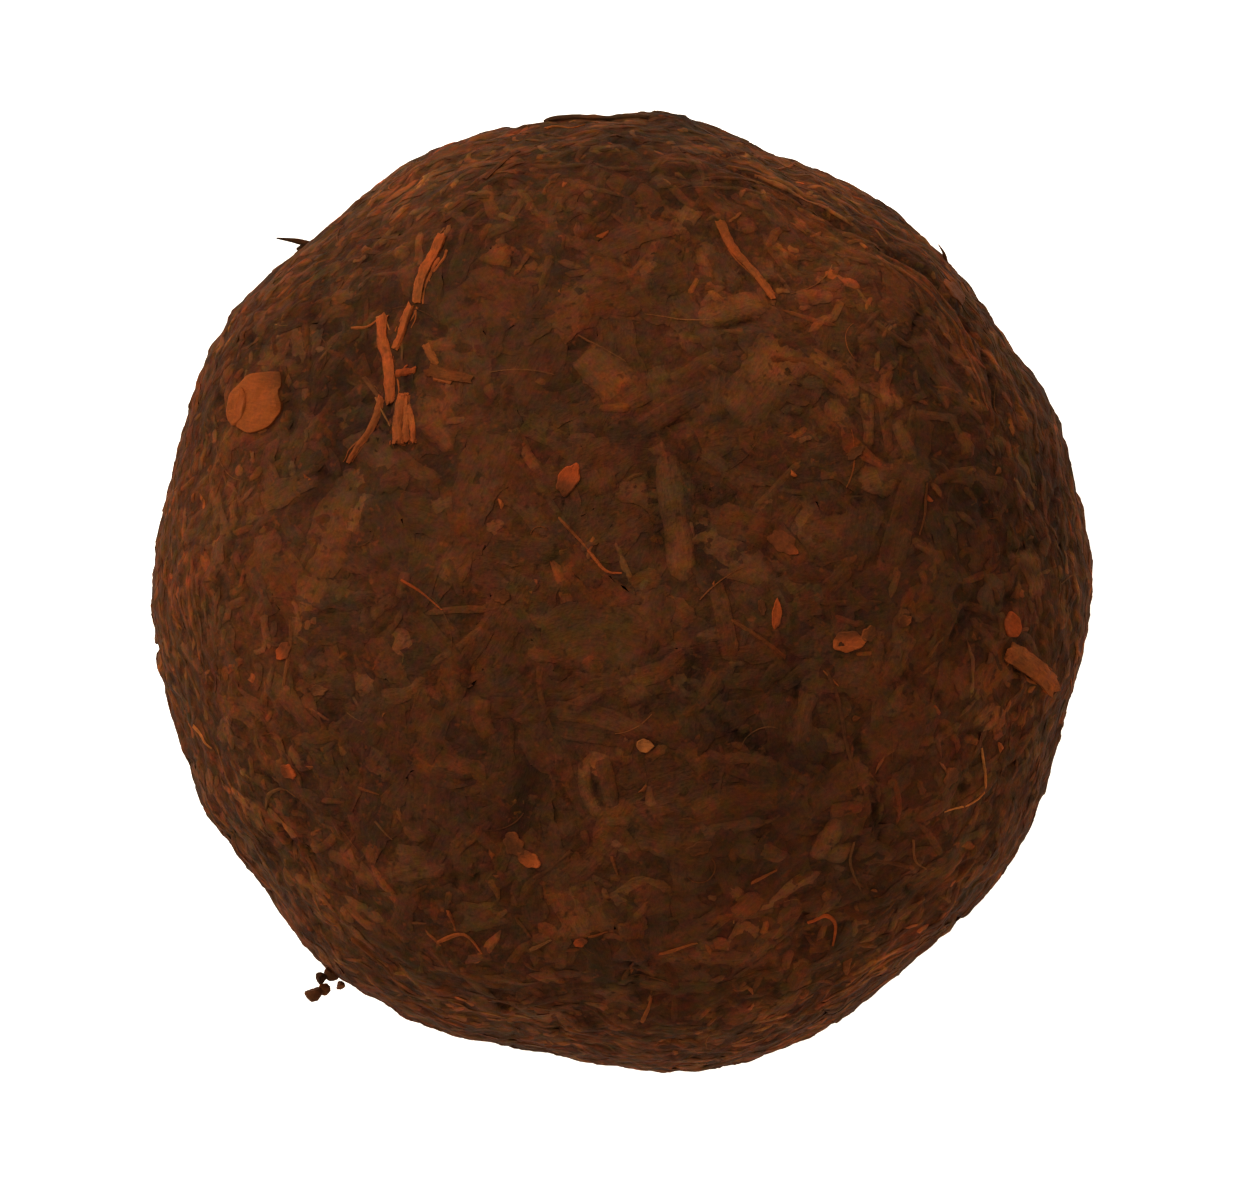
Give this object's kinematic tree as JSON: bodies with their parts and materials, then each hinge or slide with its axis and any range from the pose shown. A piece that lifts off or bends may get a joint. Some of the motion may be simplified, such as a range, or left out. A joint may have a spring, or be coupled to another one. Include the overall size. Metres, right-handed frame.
{
  "type": "pu-erh tuocha",
  "caption": "Nest-shaped block of compressed dark tea: a domed top of pressed leaves and broken twigs, a flat rest ring and a bowl-shaped hollow beneath.",
  "frame": {"origin": "middle of the block's outline, on the plane that it rests on", "axes": "+Z up through the top of the dome; +X to the right and +Y up as the block is seen from straight above"},
  "size_m": [0.0828, 0.0836, 0.0437],
  "materials": {
    "pressed_tea": "dry matt pressed leaf, dark red-brown"
  },
  "bodies": {
    "root": {"tuocha": "pressed_tea"}
  },
  "joints": []
}
